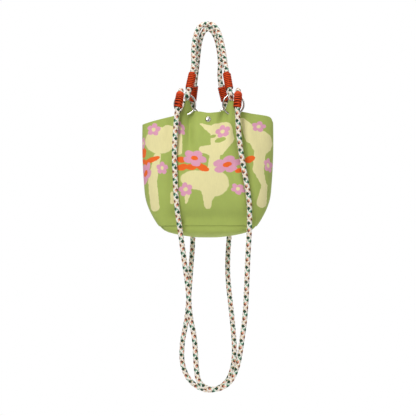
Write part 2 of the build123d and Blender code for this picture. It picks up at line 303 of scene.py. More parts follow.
def circle(centre, first, second, radius, count):
    """Points of a circle spanned by two directions."""
    angles = (np.arange(count) * 2 * math.pi / count)[:, None]
    return np.array(centre) + radius * (np.cos(angles) * np.array(first) + np.sin(angles) * np.array(second))


def frames_along(line):
    """Tangents and two steady normals at each point of a line."""
    tangents = unit(np.gradient(line, axis=0))
    first = np.cross(tangents[0], (0.0, 0.0, 1.0))
    if np.linalg.norm(first) < 0.1:
        first = np.cross(tangents[0], (1.0, 0.0, 0.0))
    normals = [first / np.linalg.norm(first)]
    for tangent in tangents[1:]:
        carried = normals[-1] - tangent * (normals[-1] @ tangent)
        normals.append(carried / np.linalg.norm(carried))
    normals = np.array(normals)
    return tangents, normals, np.cross(tangents, normals)


# ---- rope routes

def piece_name(side, face, part):
    """Name of a part at one side of one face."""
    return f"{FACE_NAMES[face]}_{SIDE_NAMES[side]}_{part}"


def middle_of(node):
    """Middle of a CAD node's box."""
    low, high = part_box(node)
    return (low + high) / 2


CORNERS = [(side, face) for face in FACE_NAMES for side in SIDE_NAMES]
RING_CENTRES = {corner: middle_of(piece_name(*corner, "ring")) for corner in CORNERS}


def wire_point(side, face, outward):
    """Point on a ring's wire, near its top, a distance outward from the ring's middle."""
    lift = math.sqrt(RING_RADIUS**2 - outward**2)
    return RING_CENTRES[side, face] + Vector((side * outward, 0, lift))


def handle_frame(side, face):
    """Origin on the wire, direction up the handle, and direction away from the bag."""
    up = Vector((-side * HANDLE_LEAN_IN[side, face], -face * HANDLE_LEAN_TO_MIDDLE, 1)).normalized()
    out = (Vector((0, face, 0)) - up * (face * up.y)).normalized()
    return wire_point(side, face, -HANDLE_EYE_INWARD), up, out


def strap_frame(side, face):
    """Origin on the wire, direction down the strap, and direction away from the bag."""
    down = Vector((side * STRAP_LEAN_OUT[side, face], 0, -1)).normalized()
    return wire_point(side, face, STRAP_EYE_OUTWARD[face]), down, Vector((0, face, 0))


def handle_eye(side, face):
    """Points of a handle's end: tail, turn under the wire, and the standing leg up."""
    wire, up, out = handle_frame(side, face)
    top = EYE_TO_WHIPPING + WHIPPING_LENGTH
    leg = LEG_HALF_SPACING
    turns = [(-leg, top + TAIL_BEYOND), (-leg, EYE_TO_WHIPPING)]
    turns += [(-EYE_HALF_WIDTH, -EYE_DEPTH), (EYE_HALF_WIDTH, -EYE_DEPTH)]
    turns += [(leg, EYE_TO_WHIPPING), (leg + LEG_DRIFT, top + STRAIGHT_BEYOND)]
    return [wire + out * across + up * along for across, along in turns]


def strap_eye(side, face):
    """Points of a strap's end: tail, turn over the wire, and the standing leg down."""
    wire, down, out = strap_frame(side, face)
    far = STRAP_NEAR_LEG + 2 * LEG_HALF_SPACING
    tail = (STRAP_NEAR_LEG, STRAP_FOOT + TAIL_BEYOND)
    leg = [(far, STRAP_LEG_SHOULDER), (far - LEG_DRIFT, STRAP_FOOT + STRAP_LEG_BELOW)]
    turns = [tail] + STRAP_EYE_TURNS + leg
    return [wire + out * across + down * along for across, along in turns]


def whole_route(end_points, middle, face):
    """A rope's whole list of points: left end, the free middle, right end."""
    left = end_points(-1, face)
    right = end_points(1, face)
    return left + [Vector(point) for point in middle] + right[::-1]


def line_of(points):
    """Evenly spaced points read from the smooth curve that a route's points control, and their places."""
    data = bpy.data.curves.new("route", "CURVE")
    data.dimensions = "3D"
    data.resolution_u = 24
    spline = data.splines.new("NURBS")
    spline.points.add(len(points) - 1)
    for control, point in zip(spline.points, points):
        control.co = (*point, 1.0)
    spline.order_u = 3
    spline.use_endpoint_u = True
    holder = bpy.data.objects.new("route", data)
    bpy.context.scene.collection.objects.link(holder)
    bpy.context.view_layer.update()
    mesh = bpy.data.meshes.new_from_object(holder)
    read = np.array([vertex.co for vertex in mesh.vertices])
    bpy.data.objects.remove(holder)
    bpy.data.meshes.remove(mesh)
    bpy.data.curves.remove(data)
    along = distances(read)
    places = np.linspace(0, along[-1], int(round(along[-1] / ROPE_STEP)) + 1)
    return read_at(places, along, read), places


# ---- rope

HANDLE_BRAID_LEAD = 0.0195
STRAP_BRAID_LEAD = 0.0245
BRAID_RADIUS = 0.0031
BRAID_WAVE = 0.0004
STRAND_HALF_WIDTHS = {1: 0.0022, -1: 0.0027}
STRAND_LIFT = -0.00006
STRAND_HALF_THICKNESS = 0.00098
CORE_RADIUS = 0.0029


def yarn_material(name, base, stripe=None, stripe_share=0.0, repeats=1.0):
    """Spun yarn: base colour, with stripes of another colour lying along the strand."""
    material, nodes, shader = new_material(name)
    uv, across, along = nodes.uv_parts()
    fibres = nodes.fibres(uv, (60.0, 900.0, 1.0))
    colour = nodes.mix(nodes.ramp(fibres, 0.3, 0.7), tinted(base, 0.86), tinted(base, 1.06))
    if stripe:
        wander = nodes.math("MULTIPLY_ADD", nodes.noise(uv, 45.0), 0.3, -0.15)
        edge = nodes.math("ADD", nodes.wave(across, 0.5 / repeats), wander)
        mask = nodes.ramp(edge, 1.0 - stripe_share - 0.08, 1.0 - stripe_share + 0.08)
        colour = nodes.mix(mask, colour, stripe)
    twist = nodes.dot(along, 620.0, across, 24.0)
    height = nodes.math("MULTIPLY_ADD", fibres, 0.7, nodes.wave(twist))
    nodes.fill(shader, {"Base Color": colour, "Normal": nodes.bump(height, 0.45, 0.00025),
                        "Roughness": nodes.ramp(fibres, 0.2, 0.8, 0.62, 0.85),
                        "Sheen Weight": 0.1, "Sheen Roughness": 0.5})
    return material


def tinted(colour, factor):
    """A colour made lighter or darker."""
    return (*(min(1.0, part * factor) for part in colour[:3]), 1.0)


def rope_materials():
    """Materials of the strands: the four that turn one way, then the four that turn the other."""
    white = linear(240, 236, 226)
    cream = linear(226, 208, 178)
    tan = linear(206, 172, 132)
    peach = linear(222, 150, 116)
    mint = linear(92, 158, 124)
    dark_green = linear(16, 62, 36)
    brown = linear(98, 50, 28)
    return [
        yarn_material("rope_mint", white, mint, 0.5),
        yarn_material("rope_peach", white, peach, 0.22, 2.0),
        yarn_material("rope_tan", white, tan, 0.35),
        yarn_material("rope_white", white, peach, 0.12, 2.0),
        yarn_material("rope_dark_green", dark_green),
        yarn_material("rope_cream", tinted(white, 0.95), cream, 0.4),
        yarn_material("rope_brown", brown, peach, 0.3),
        yarn_material("rope_pale", white, mint, 0.15),
    ]


def braided_rope(name, line, places, materials, phase, lead):
    """Eight strands laid over and under each other round a core, along a line."""
    _, normals, binormals = frames_along(line)
    turn = 2 * math.pi / lead
    mesh = Builder()
    for way in (1, -1):
        for strand in range(4):
            angle = way * turn * places + strand * math.pi / 2 + phase
            wave = np.cos(4 * (turn * places))
            radius = BRAID_RADIUS + way * (STRAND_LIFT + BRAID_WAVE * wave)
            radial = np.cos(angle)[:, None] * normals + np.sin(angle)[:, None] * binormals
            centre = line + radial * radius[:, None]
            across = unit(np.cross(unit(np.gradient(centre, axis=0)), radial))
            index = strand + (0 if way > 0 else 4)
            mesh.tube(centre, across, radial, STRAND_HALF_WIDTHS[way], STRAND_HALF_THICKNESS, 8, index)
    coarse = slice(None, None, 3)
    mesh.tube(line[coarse], normals[coarse], binormals[coarse], CORE_RADIUS, CORE_RADIUS, 10, 5)
    return mesh.make(name, materials)


# ---- whippings

WRAP_PITCH = 0.0031
WRAP_TURN_POINTS = 32
WRAP_SEAT = 0.0047


def whipping_material():
    """Waxed cord: orange red, with fine twisted plies, and painted shade that darkens the grooves between
    its turns.
    """
    material, nodes, shader = new_material("whipping_cord")
    uv, across, along = nodes.uv_parts()
    plies = nodes.wave(nodes.dot(along, 900.0, across, 3.0))
    fibres = nodes.fibres(uv, (20.0, 700.0, 1.0))
    lively = nodes.mix(nodes.ramp(fibres, 0.3, 0.7), linear(208, 60, 8), linear(234, 84, 14))
    patches = nodes.ramp(nodes.noise(uv, 30.0), 0.35, 0.7, 0.0, 0.35)
    worn = nodes.mix(patches, lively, linear(168, 34, 4))
    # Painted shade: the colour darkens towards the edges of the cord's section, where the turns meet in
    # shaded grooves.
    side = nodes.math("ABSOLUTE", nodes.math("COSINE", nodes.math("MULTIPLY", across, 2 * math.pi)))
    colour = nodes.mix(nodes.ramp(side, 0.3, 0.86), worn, linear(98, 15, 1))
    nodes.fill(shader, {"Base Color": colour, "Specular IOR Level": 0.2,
                        "Normal": nodes.bump(nodes.math("ADD", plies, fibres), 0.5, 0.0002),
                        "Roughness": nodes.ramp(fibres, 0.2, 0.8, 0.5, 0.7)})
    return material


def stadium_point(rear, front, lateral, radius, share):
    """Point at a share of the way round an oval about two centres, and its outward direction."""
    axis = front - rear
    length = axis.length
    axis = axis / length
    half_turn = math.pi * radius
    around = share * (2 * length + 2 * half_turn)
    if around < length:
        return rear + axis * around + lateral * radius, lateral
    around -= length
    if around < half_turn:
        angle = around / radius
        away = lateral * math.cos(angle) + axis * math.sin(angle)
        return front + away * radius, away
    around -= half_turn
    if around < length:
        return front - axis * around - lateral * radius, -lateral
    angle = (around - length) / radius
    away = lateral * -math.cos(angle) - axis * math.sin(angle)
    return rear + away * radius, away


def wound_cord(name, centres, lateral, length, material, seed):
    """A cord wound turn by turn about two moving centres, over a plain core."""
    mesh = Builder()
    count = int(length / WRAP_PITCH * WRAP_TURN_POINTS)
    points, aways = [], []
    for number in range(count + 1):
        rear, front = centres(number / count)
        turn_share = (number / WRAP_TURN_POINTS) % 1.0
        uneven = 0.00012 * noise.noise(Vector((number * 0.07, seed, 0.5)))
        end_tuck = 0.0007 * max(0.0, 1 - min(number, count - number) / (WRAP_TURN_POINTS * 0.3))
        seat = WRAP_SEAT + WRAP_D / 2 + uneven - end_tuck
        point, away = stadium_point(rear, front, lateral, seat, turn_share)
        points.append(point)
        aways.append(away)
    line = np.array(points)
    away = np.array(aways)
    across = unit(np.cross(unit(np.gradient(line, axis=0)), away))
    mesh.tube(line, across, away, WRAP_PITCH / 2, WRAP_D * 0.6, 8)
    core = WRAP_SEAT + 0.0004
    rows = [[stadium_point(*centres(number / 8), lateral, core, share / 32)[0] for share in range(32)]
            for number in range(9)]
    mesh.grid(rows, closed_across=True)
    mesh.close_ends(rows)
    return mesh.make(name, [material])


def handle_whipping(side, face, material):
    """Wound cord round both legs of a handle's eye."""
    wire, up, out = handle_frame(side, face)
    length = WHIPPING_LENGTH - WRAP_D

    def centres(share):
        middle = wire + up * (EYE_TO_WHIPPING + WRAP_D / 2 + share * length)
        taper = LEG_HALF_SPACING * (1.0 - 0.12 * share)
        return middle - out * taper, middle + out * taper

    name = piece_name(side, face, "handle_whipping_cord")
    return wound_cord(name, centres, out.cross(up).normalized(), length, material, side + 2 * face)


def strap_whipping(side, face, material):
    """Wound cord round both legs of a strap's eye, closing on the one leg that goes up to the ring."""
    wire, down, out = strap_frame(side, face)
    far = STRAP_NEAR_LEG + 2 * LEG_HALF_SPACING

    def bent(points, share):
        """Point of a curve with three controls."""
        across, along = [(1 - share) ** 2 * a + 2 * share * (1 - share) * b + share**2 * c
                         for a, b, c in zip(*points)]
        return wire + out * across + down * along

    foot = STRAP_FOOT - WRAP_D / 2
    front_path = [(far - 0.0002, foot), (far, 0.0015), (0.0125, 0.0003)]
    rear_path = [(STRAP_NEAR_LEG, foot), (STRAP_NEAR_LEG - 0.0006, 0.0125), (0.0118, 0.0012)]

    def centres(share):
        return bent(rear_path, share), bent(front_path, share)

    name = piece_name(side, face, "strap_whipping_cord")
    lateral = out.cross(down).normalized()
    return wound_cord(name, centres, lateral, STRAP_FOOT + 0.004, material, 5 + side + 2 * face)


# ---- bag shape

MIDDLE_X = -0.001
CLOTH = 0.0013
BASE_SEAM_Z = -0.329
LINING_TOP_Z = -0.186
LINING_FOOT_Z = -0.3465
LINING_CLOTH = 0.0008
LINING_GAP = 0.0013
BOTTOM_EDGE_Z = -0.3487
BOTTOM_SAG = 0.0005
BASE_LOOP = 90
SEAM_RADIUS = 0.0011
EYELET_RADIUS = 0.0036
EYELET_STITCHES = 30
EYELET_THREAD = 0.00036
STITCH_LENGTH = 0.0026
STITCH_GAP = 0.0009
STITCH_RADIUS = 0.00026
STITCH_LIFTS = (-0.0001, 0.00022, 0.0003, 0.00022, -0.0001)
SNAP_CAP_RADIUS = 0.00475
SNAP_CAP_HEIGHT = 0.0026
SNAP_TILT = 0.25

# Rows of stitches: share of the way down a panel, and how far they reach to its sides
STITCH_ROWS = [(0.034, 0.985), (0.975, 0.97)]

# Height, half width, half depth at the side seam, half depth in the middle, squareness
LEVELS = [
    (-0.349, 0.018, 0.004, 0.010, 2.4),
    (-0.3465, 0.038, 0.012, 0.024, 2.6),
    (-0.3425, 0.058, 0.020, 0.034, 3.0),
    (-0.338, 0.0715, 0.023, 0.0395, 3.4),
    (-0.329, 0.0815, 0.023, 0.0415, 3.4),
    (-0.314, 0.0915, 0.017, 0.042, 3.0),
    (-0.298, 0.0995, 0.012, 0.0465, 2.6),
    (-0.282, 0.1045, 0.009, 0.049, 2.4),
    (-0.26, 0.1070, 0.006, 0.0495, 2.2),
    (-0.23, 0.1090, 0.005, 0.0465, 2.1),
    (-0.2, 0.1100, 0.004, 0.0415, 2.0),
    (-0.17, 0.1100, 0.0035, 0.034, 2.0),
    (-0.136, 0.1095, 0.003, 0.0255, 2.0),
    (-0.1, 0.1095, 0.003, 0.0215, 2.0),
]

# Rims: points of the top edge, left to right
FRONT_RIM = [(-0.111, -0.158), (-0.095, -0.1535), (-0.058, -0.1445), (-0.035, -0.1385), (-0.0156, -0.1372),
             (0.0, -0.1396), (0.016, -0.138), (0.034, -0.134), (0.056, -0.1375), (0.072, -0.1405),
             (0.092, -0.143), (0.1005, -0.1445), (0.1055, -0.1475), (0.1085, -0.1545)]
REAR_RIM = [(-0.111, -0.158), (-0.09, -0.1565), (-0.058, -0.156), (-0.034, -0.152), (-0.008, -0.1555),
            (0.011, -0.1555), (0.036, -0.152), (0.058, -0.155), (0.09, -0.151), (0.1045, -0.150),
            (0.1085, -0.1545)]

PEAK_INWARD = 0.0036
PEAK_WIRE_GAP = 0.0096
PEAK_HALF_WIDTH = 0.0090
PEAK_TWIST = 38.0


def smooth_table(table, value):
    """Smooth value of each column of a table whose first column rises."""
    keys = [row[0] for row in table]
    value = min(max(value, keys[0]), keys[-1])
    place = max(0, min(len(keys) - 2, int(np.searchsorted(keys, value)) - 1))
    before, after = table[max(place - 1, 0)], table[min(place + 2, len(table) - 1)]
    low, high = table[place], table[place + 1]
    width = high[0] - low[0]
    t = (value - low[0]) / width
    result = []
    for column in range(1, len(low)):
        slope_low = (high[column] - before[column]) / max(high[0] - before[0], 1e-9) * width
        slope_high = (after[column] - low[column]) / max(after[0] - low[0], 1e-9) * width
        bend = (2 * t**3 - 3 * t**2 + 1) * low[column] + (t**3 - 2 * t**2 + t) * slope_low
        result.append(bend + (3 * t**2 - 2 * t**3) * high[column] + (t**3 - t**2) * slope_high)
    return result


def step(low, high, value):
    """Smooth step from 0 at low to 1 at high."""
    t = min(max((value - low) / (high - low), 0.0), 1.0)
    return t * t * (3 - 2 * t)


def bell(distance, width):
    """Bell curve of a distance."""
    return math.exp(-((distance / width) ** 2))


# Folds from the rings: top x and z, foot x and z, height out of the cloth, half width
CREASES = [
    (-0.0270, -0.122, -0.026, -0.158, -0.0080, 0.0085),
    (0.0290, -0.122, 0.028, -0.158, -0.0080, 0.0085),
    (-0.0455, -0.140, -0.047, -0.225, 0.0042, 0.0055),
    (-0.0325, -0.138, -0.031, -0.205, -0.0062, 0.0052),
    (-0.022, -0.140, -0.010, -0.215, 0.0026, 0.0070),
    (-0.060, -0.150, -0.085, -0.240, -0.0024, 0.0080),
    (0.0365, -0.136, 0.033, -0.205, 0.0030, 0.0060),
    (0.050, -0.138, 0.066, -0.262, -0.0052, 0.0065),
    (0.064, -0.146, 0.088, -0.262, 0.0028, 0.0085),
    (0.022, -0.140, 0.016, -0.205, -0.0022, 0.0060),
    (-0.060, -0.225, -0.066, -0.300, -0.0030, 0.0085),
    (0.052, -0.230, 0.058, -0.300, 0.0026, 0.0100),
]


def crease_depth(x, z, face):
    """How far the folds push the cloth out, in metres, at a place on one face."""
    if face > 0:
        x = -x
    total = 0.0
    for top_x, top_z, foot_x, foot_z, height, width in CREASES:
        along = (top_z - z) / (top_z - foot_z)
        if -0.15 < along < 1.4:
            line_x = top_x + (foot_x - top_x) * along
            fade = step(-0.15, 0.12, along) * (1 - step(0.55, 1.35, along))
            spread = width * (0.75 + 0.7 * max(along, 0.0))
            total += height * fade * bell(x - line_x, spread)
    place = Vector((x * 16, face * 3.1, z * 11))
    total += 0.0016 * noise.noise(place) + 0.0006 * noise.noise(place * 2.7)
    belly = bell(z + 0.319, 0.017) * (1 - step(0.055, 0.095, abs(x)))
    return total - 0.0065 * belly


def section_point(share, z, face, inset=0.0):
    """Point of the bag's wall at a share across, from -1 to 1, at a height on one face."""
    half_width, side_depth, middle_depth, square = smooth_table(LEVELS, z)
    angle = share * math.pi / 2
    across = math.copysign(abs(math.sin(angle)) ** (2 / square), share) if share else 0.0
    away = max(math.cos(angle), 0.0) ** (2 / square)
    x = MIDDLE_X + (half_width - inset) * across
    crease = crease_depth(x, z, face) * away**0.7
    depth = side_depth * away**0.35 + (middle_depth - side_depth) * away + crease - inset * away**0.3
    return Vector((x, face * max(depth, 0.0), z))


def rim_height(x, face):
    """Height of the top edge at x, without the peaks."""
    return smooth_table(FRONT_RIM if face < 0 else REAR_RIM, x)[0]


def peak_tip(side, face):
    """Place of the top of a peak of cloth, under the handle's eye inside the ring."""
    centre = RING_CENTRES[side, face]
    tip = wire_point(side, face, -PEAK_INWARD)
    return Vector((centre.x - side * PEAK_INWARD, tip.y, tip.z - PEAK_WIRE_GAP))


PEAK_TIPS = {corner: peak_tip(*corner) for corner in CORNERS}


def peak_profile(offset):
    """Share of a peak's height at an offset from its middle, in peak half widths."""
    offset = abs(offset)
    shoulder = 1 - step(0.42, 1.1, offset)
    return 0.86 * shoulder + 0.14 * (1 - step(0.5, 2.4, offset))


def lifted(point, x, share_down, face):
    """A point of the wall drawn up and turned by the peak beside it."""
    near_top = max(0.0, 1 - share_down * 5.5) ** 1.6
    for side in SIDE_NAMES:
        tip = PEAK_TIPS[side, face]
        offset = (x - tip.x) / PEAK_HALF_WIDTH
        if abs(offset) > 2.6:
            continue
        height = (tip.z - rim_height(tip.x, face)) * peak_profile(offset) * near_top
        share = min(1.0, height / 0.02)
        turn = math.radians(PEAK_TWIST) * side * face * share
        arm = (point.x - tip.x) * (1 - 0.18 * share)
        middle_y = tip.y * share + point.y * (1 - share)
        bowl = 0.0016 * share * math.cos(min(abs(offset), 1.5) * 2.2)
        point = Vector((tip.x + arm * math.cos(turn) * (1 - 0.1 * share),
                        middle_y + arm * math.sin(turn) + face * bowl, point.z + height))
    return point


PANEL_COLUMNS = 170
PANEL_ROWS = 120


def column_shares(face):
    """Shares across the panel, closer together at the peaks."""
    fine = np.linspace(-1, 1, 4001)
    across = np.array([section_point(share, -0.16, face).x for share in fine[::40]])
    across = np.interp(fine, fine[::40], across)
    density = np.ones_like(fine)
    for side in SIDE_NAMES:
        density += 2.2 * np.exp(-((across - PEAK_TIPS[side, face].x) / 0.012) ** 2)
    density += 1.2 * np.exp(-((np.abs(fine) - 1) / 0.05) ** 2)
    total = np.concatenate([[0], np.cumsum((density[1:] + density[:-1]) / 2)])
    return np.interp(np.linspace(0, total[-1], PANEL_COLUMNS + 1), total, fine)


def panel_point(share, down, face):
    """Point of a panel at a share across and a share down from its rim to the base seam."""
    rough = section_point(share, -0.155, face)
    top = rim_height(rough.x, face)
    eased = down**1.12
    point = section_point(share, top + (BASE_SEAM_Z - top) * eased, face)
    return lifted(point, rough.x, eased, face)


def thicken(piece, thickness):
    """Gives a sheet its thickness, inward from its outer face, and applies it."""
    modifier = piece.modifiers.new("thickness", "SOLIDIFY")
    modifier.thickness = thickness
    modifier.offset = -1.0
    modifier.use_even_offset = False
    apply_modifiers(piece)


def apply_modifiers(piece):
    """Replaces a piece's mesh with its evaluated one."""
    graph = bpy.context.evaluated_depsgraph_get()
    mesh = bpy.data.meshes.new_from_object(piece.evaluated_get(graph))
    piece.modifiers.clear()
    piece.data = mesh


def print_uv(point):
    """Place on the printed cloth: metres across and up, mirrored on the rear."""
    return (-point[0] if point[1] > 0 else point[0], point[2])


# ---- print

# Printed shapes, in millimetres and degrees. Ovals, leaves and flowers: centre x and z, half width,
# half height and angle. Tapers: x, z and radius of the start, then of the end.
CREAM_OVALS = [
    (-78, -186, 28, 22, 8), (-12, -253.5, 34.5, 16.5, -6), (8, -258, 26, 22, 0), (89, -190, 18, 20, 0),
]
CREAM_TAPERS = [
    (-68, -172, 12, -53, -172, 8), (-52, -175, 8, -50, -205, 6), (-85, -212, 6, -93, -255, 7.5),
    (-93, -255, 7.5, -88.5, -297, 7.5), (-13, -159.5, 1.5, 8, -170, 8), (10, -166, 7, 30, -164, 8.5),
    (30, -165, 9, 34, -184, 8.5), (34, -184, 8.5, 18, -203, 9), (12, -172, 8, 10.5, -192, 7),
    (20, -176, 8, 22, -196, 9),
    (-10, -202, 5.5, 10, -204, 11), (12, -202, 9, 7, -236, 9), (2, -268, 16, -1, -284, 7.5),
    (-1, -284, 6.8, -1, -294, 6), (57, -152, 4, 74, -178, 14), (70, -172, 10, 88, -190, 18),
    (86, -205, 10, 83, -235, 9), (84, -238, 8, 93, -262, 4), (93, -262, 5, 88.5, -290, 8.5),
    (-60, -275, 3, -60, -290, 3), (-35, -278, 5, -37, -290, 2),
]
ORANGE_LEAVES = [
    (-45, -219, 7, 5, -8), (-43, -231.5, 9, 5.5, 10), (-29, -231.5, 9, 5, -6), (-11, -231.5, 13, 5.5, -24),
    (69, -218, 9, 5.5, 24), (51, -237, 7, 4, 12), (-95, -219, 15, 4.2, 20), (-106, -222, 7, 3.6, -40),
    (-108, -206, 4, 9, 0),
]
GREEN_LEAVES = [(7.5, -180, 5, 2.6, 24), (20, -186, 10, 3.6, 16)]
SMALL_FLOWERS = [
    (-91.5, -167.6, 11.5, 10.5, 8), (-46.8, -166, 6.5, 13, 20), (24, -171.7, 13, 10, 28),
    (84, -162.8, 12, 9, 4), (-37.8, -268.4, 12, 11, 30), (49, -267.6, 12.5, 8.5, -20),
    (99.6, -227.8, 7.5, 12, 10), (-76.8, -232.7, 9.5, 10.5, 16), (-109, -190, 3.5, 10, 0),
]
LARGE_FLOWERS = [
    (-23, -216.4, 20, 13.5, -12), (31, -227, 25, 14, 12), (-104.5, -241, 9, 19, -12),
]
MILLIMETRE = 0.001
PRINT_WANDER = 0.0026


def group_tree(name, inputs, outputs):
    """An empty node group with float inputs and outputs."""
    tree = bpy.data.node_groups.new(name, "ShaderNodeTree")
    for entry in inputs:
        tree.interface.new_socket(entry, in_out="INPUT", socket_type="NodeSocketFloat")
    for entry in outputs:
        tree.interface.new_socket(entry, in_out="OUTPUT", socket_type="NodeSocketFloat")
    nodes = Nodes(tree)
    return tree, nodes, nodes.add("NodeGroupInput").outputs, nodes.add("NodeGroupOutput")


def turned_place(nodes, source):
    """Place across and along an oval, each as a share of its half size."""
    x = nodes.math("SUBTRACT", source["X"], source["Centre X"])
    z = nodes.math("SUBTRACT", source["Z"], source["Centre Z"])
    cosine, sine = nodes.math("COSINE", source["Angle"]), nodes.math("SINE", source["Angle"])
    across = nodes.dot(x, cosine, z, sine)
    along = nodes.math("SUBTRACT", nodes.math("MULTIPLY", z, cosine), nodes.math("MULTIPLY", x, sine))
    across = nodes.math("DIVIDE", across, source["Half Width"])
    return across, nodes.math("DIVIDE", along, source["Half Height"])


OVAL_INPUTS = ("X", "Z", "Centre X", "Centre Z", "Half Width", "Half Height", "Angle")


def oval_group():
    """Mask of a turned oval."""
    tree, nodes, source, target = group_tree("print_oval", OVAL_INPUTS, ["Mask"])
    across, along = turned_place(nodes, source)
    nodes.fill(target, {"Mask": nodes.ramp(nodes.dot(across, across, along, along), 1.08, 0.92)})
    return tree


def taper_group():
    """Mask of a round-ended shape whose radius changes from one end to the other."""
    names = ("X", "Z", "Start X", "Start Z", "Start Radius", "End X", "End Z", "End Radius")
    tree, nodes, source, target = group_tree("print_taper", names, ["Mask"])
    run_x = nodes.math("SUBTRACT", source["End X"], source["Start X"])
    run_z = nodes.math("SUBTRACT", source["End Z"], source["Start Z"])
    x = nodes.math("SUBTRACT", source["X"], source["Start X"])
    z = nodes.math("SUBTRACT", source["Z"], source["Start Z"])
    square = nodes.dot(run_x, run_x, run_z, run_z)
    share = nodes.math("DIVIDE", nodes.dot(x, run_x, z, run_z), square, clamp=True)
    off_x = nodes.math("SUBTRACT", x, nodes.math("MULTIPLY", share, run_x))
    off_z = nodes.math("SUBTRACT", z, nodes.math("MULTIPLY", share, run_z))
    off = nodes.math("SQRT", nodes.dot(off_x, off_x, off_z, off_z))
    growth = nodes.math("SUBTRACT", source["End Radius"], source["Start Radius"])
    radius = nodes.math("MULTIPLY_ADD", share, growth, source["Start Radius"])
    nodes.fill(target, {"Mask": nodes.ramp(nodes.math("SUBTRACT", off, radius), 0.0003, -0.0003)})
    return tree


def flower_group():
    """Masks of a flower with five round petals, and of its oval centre."""
    tree, nodes, source, target = group_tree("print_flower", OVAL_INPUTS, ["Petals", "Centre"])
    across, along = turned_place(nodes, source)
    radius = nodes.math("SQRT", nodes.dot(across, across, along, along))
    angle = nodes.math("ARCTAN2", along, across)
    lobes = nodes.math("ABSOLUTE", nodes.math("COSINE", nodes.math("MULTIPLY", angle, 2.5)))
    edge = nodes.math("MULTIPLY_ADD", nodes.math("POWER", lobes, 0.6), 0.4, 0.62)
    nodes.fill(target, {"Petals": nodes.ramp(nodes.math("SUBTRACT", radius, edge), 0.03, -0.03),
                        "Centre": nodes.ramp(radius, 0.34, 0.27)})
    return tree


def finish_cloth(nodes, shader, colour, ribs, weave, mottle):
    """Colour variation, bump, roughness and sheen of woven cotton."""
    shade = nodes.math("MULTIPLY_ADD", ribs, 0.16, nodes.math("MULTIPLY_ADD", mottle, 0.12, 0.86))
    shade = nodes.math("MULTIPLY_ADD", weave, 0.05, shade)
    grey = nodes.add("ShaderNodeCombineXYZ", {0: shade, 1: shade, 2: shade}).outputs[0]
    height = nodes.math("MULTIPLY_ADD", weave, 0.5, ribs)
    nodes.fill(shader, {"Base Color": nodes.mix(1.0, colour, grey, "MULTIPLY"),
                        "Normal": nodes.bump(height, 0.5, 0.00045),
                        "Roughness": nodes.ramp(ribs, 0.2, 0.8, 0.78, 0.93),
                        "Sheen Weight": 0.1, "Sheen Roughness": 0.45})


def woven(nodes):
    """Texture coordinates, and the ribs, weave and slow mottling of cotton."""
    uv, across, along = nodes.uv_parts()
    weave = nodes.math("MULTIPLY", nodes.wave(across, 0.0011), nodes.wave(along, 0.0009))
    return uv, nodes.fibres(uv, (520.0, 90.0, 1.0)), weave, nodes.fibres(uv, (60.0, 40.0, 1.0), 3.0, 0.5)


GREEN = linear(154, 169, 82)
CREAM = linear(217, 208, 152)
PINK = linear(208, 146, 170)
ORANGE = linear(224, 94, 12)


def shape_nodes(nodes, tree, place, entries):
    """Nodes of printed shapes, from sizes in millimetres and, for all but tapers, an angle in degrees."""
    found = []
    for entry in entries:
        values = [part * MILLIMETRE for part in entry]
        if len(entry) == 5:
            values[4] = math.radians(entry[4])
        found.append(nodes.add("ShaderNodeGroup", enumerate([*place, *values]), node_tree=tree))
    return found


def printed_cloth():
    """Green cotton with a print of cream shapes, pink flowers, and orange and green leaves."""
    material, nodes, shader = new_material("printed_cloth")
    uv, *texture = woven(nodes)
    wander = nodes.add("ShaderNodeTexNoise", {"Vector": uv, "Scale": 170.0, "Detail": 1.0}).outputs[1]
    reach = (PRINT_WANDER, PRINT_WANDER, 0.0)
    moved = nodes.add("ShaderNodeVectorMath", {0: wander, 1: reach, 2: uv}, operation="MULTIPLY_ADD")
    back = (PRINT_WANDER / 2, PRINT_WANDER / 2, 0.0)
    centred = nodes.add("ShaderNodeVectorMath", {0: moved.outputs[0], 1: back}, operation="SUBTRACT")
    place = nodes.add("ShaderNodeSeparateXYZ", {"Vector": centred.outputs[0]}).outputs[:2]
    oval, taper, flower = oval_group(), taper_group(), flower_group()

    small, large = [shape_nodes(nodes, flower, place, entries) for entries in (SMALL_FLOWERS, LARGE_FLOWERS)]
    cream = shape_nodes(nodes, oval, place, CREAM_OVALS) + shape_nodes(nodes, taper, place, CREAM_TAPERS)
    layers = [
        (cream, 0, CREAM),
        (shape_nodes(nodes, oval, place, GREEN_LEAVES), 0, GREEN),
        (shape_nodes(nodes, oval, place, ORANGE_LEAVES), 0, ORANGE),
        (small + large, 0, PINK),
        (small, 1, CREAM),
        (large, 1, ORANGE),
    ]
    colour = GREEN
    for shapes, output, ink in layers:
        total = shapes[0].outputs[output]
        for shape in shapes[1:]:
            total = nodes.math("MAXIMUM", total, shape.outputs[output])
        colour = nodes.mix(total, colour, ink)
    finish_cloth(nodes, shader, colour, *texture)
    return material


def plain_cloth(name, colour):
    """Cotton of one colour, with the same weave."""
    material, nodes, shader = new_material(name)
    _, *texture = woven(nodes)
    shaded = nodes.mix(nodes.ramp(texture[-1], 0.35, 0.65), tinted(colour, 0.94), tinted(colour, 1.04))
    finish_cloth(nodes, shader, shaded, *texture)
    return material


def thread_material(name, colour):
    """Sewing thread with its twist."""
    material, nodes, shader = new_material(name)
    place = nodes.add("ShaderNodeTexCoord").outputs["Object"]
    fibres = nodes.noise(place, 2400.0, 2.0, 0.6)
    nodes.fill(shader, {"Base Color": nodes.mix(fibres, tinted(colour, 0.8), tinted(colour, 1.1)),
                        "Normal": nodes.bump(fibres, 0.5, 0.0002),
                        "Roughness": nodes.ramp(fibres, 0.2, 0.8, 0.6, 0.8)})
    return material


